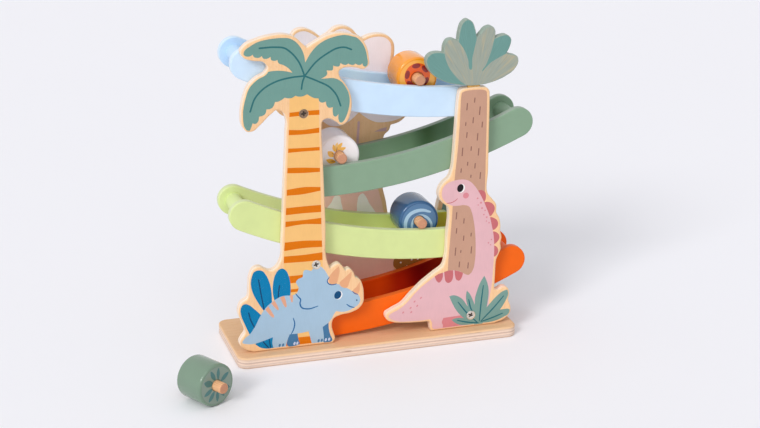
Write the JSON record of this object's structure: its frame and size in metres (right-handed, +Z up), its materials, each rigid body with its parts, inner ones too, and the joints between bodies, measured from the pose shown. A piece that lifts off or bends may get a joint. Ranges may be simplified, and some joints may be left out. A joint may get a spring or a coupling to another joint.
{
  "type": "wooden ramp racer toy",
  "caption": "Wooden toy with curved ramps zig-zagging down between printed cut-out boards on a flat base; rollers run down on their pegs between paired rails.",
  "frame": {"origin": "centre of the base board's underside, on the table", "axes": "+Z up, +X along the base to the viewer's right, +Y from the front boards to the back boards"},
  "size_m": [0.3679, 0.184, 0.3184],
  "materials": {
    "base_wood": "oiled birch plywood",
    "palm_print": "satin print on plywood",
    "trunk_print": "satin print on plywood",
    "volcano_print": "satin print on plywood",
    "shrub_print": "satin print on plywood",
    "fan_paint": "matte print on board",
    "raw_wood": "bare wood",
    "sky_paint": "satin paint on wood",
    "sage_paint": "satin paint on wood",
    "lime_paint": "satin paint on wood",
    "orange_paint": "satin paint on wood",
    "amber_paint": "satin paint on wood",
    "white_paint": "satin paint on wood",
    "navy_paint": "satin paint on wood",
    "moss_paint": "satin paint on wood",
    "screw_steel": "plated steel"
  },
  "bodies": {
    "frame": {"base_board": "base_wood", "palm_board": "palm_print", "trunk_board": "trunk_print", "volcano_board": "volcano_print", "shrub_board": "shrub_print", "leaf_fan": "fan_paint", "fan_tenon": "raw_wood", "rail_sky_front": "sky_paint", "rail_sky_back": "sky_paint", "cross_dowel_sky": "sky_paint", "rail_sage_front": "sage_paint", "rail_sage_back": "sage_paint", "cross_dowel_sage": "sage_paint", "rail_lime_front": "lime_paint", "rail_lime_back": "lime_paint", "cross_dowel_lime": "lime_paint", "rail_orange_front": "orange_paint", "rail_orange_back": "orange_paint", "cross_dowel_orange": "orange_paint", "spacer_upper": "raw_wood", "spacer_middle": "raw_wood", "spacer_lower": "raw_wood", "spacer_screw_upper_front": "screw_steel", "spacer_screw_upper_back": "screw_steel", "spacer_screw_middle_front": "screw_steel", "spacer_screw_middle_back": "screw_steel", "spacer_screw_lower_front": "screw_steel", "spacer_screw_lower_back": "screw_steel", "base_screw_palm_left": "screw_steel", "base_screw_palm_right": "screw_steel", "base_screw_trunk_left": "screw_steel", "base_screw_trunk_right": "screw_steel", "base_screw_volcano_left": "screw_steel", "base_screw_volcano_right": "screw_steel", "base_screw_shrub_left": "screw_steel", "base_screw_shrub_right": "screw_steel"},
    "amber_peg": {"peg_amber": "raw_wood"},
    "amber_roller": {"roller_amber": "amber_paint"},
    "white_peg": {"peg_white": "raw_wood"},
    "white_roller": {"roller_white": "white_paint"},
    "navy_peg": {"peg_navy": "raw_wood"},
    "navy_roller": {"roller_navy": "navy_paint"},
    "moss_peg": {"peg_moss": "raw_wood"},
    "moss_roller": {"roller_moss": "moss_paint"}
  },
  "joints": [
    {"name": "amber_travel", "type": "hinge", "parent": "frame", "child": "amber_peg", "pos_m": [0.091, 0, 0.7125], "axis": [0, -1, 0], "range_deg": [-17.9, 6]},
    {"name": "amber_spin", "type": "hinge", "parent": "amber_peg", "child": "amber_roller", "pos_m": [0.04548, 0, 0.26029], "axis": [0, 1, 0], "range_deg": [-1645, 551]},
    {"name": "white_travel", "type": "hinge", "parent": "frame", "child": "white_peg", "pos_m": [-0.0502, 0, 0.6448], "axis": [0, 1, 0], "range_deg": [-19, 3.8]},
    {"name": "white_spin", "type": "hinge", "parent": "white_peg", "child": "white_roller", "pos_m": [-0.03121, 0, 0.1907], "axis": [0, -1, 0], "range_deg": [-1746, 349]},
    {"name": "navy_travel", "type": "hinge", "parent": "frame", "child": "navy_peg", "pos_m": [0.08, 0, 0.5715], "axis": [0, -1, 0], "range_deg": [-19, 4.9]},
    {"name": "navy_spin", "type": "hinge", "parent": "navy_peg", "child": "navy_roller", "pos_m": [0.04833, 0, 0.11811], "axis": [0, 1, 0], "range_deg": [-1746, 450]},
    {"name": "moss_travel", "type": "slide", "parent": "frame", "child": "moss_peg", "axis": [0.878, 0.4787, 0], "range_m": [-0.06, 0.04]},
    {"name": "moss_spin", "type": "hinge", "parent": "moss_peg", "child": "moss_roller", "pos_m": [-0.1842, -0.1078, 0.0203], "axis": [-0.4787, 0.878, 0], "range_deg": [-190, 130]}
  ],
  "couplings": [
    {"joint": "amber_travel", "follows": "amber_spin", "ratio": 0.010881},
    {"joint": "white_travel", "follows": "white_spin", "ratio": 0.010881},
    {"joint": "navy_travel", "follows": "navy_spin", "ratio": 0.010881},
    {"joint": "moss_spin", "follows": "moss_travel", "rad_per_m": 50}
  ]
}
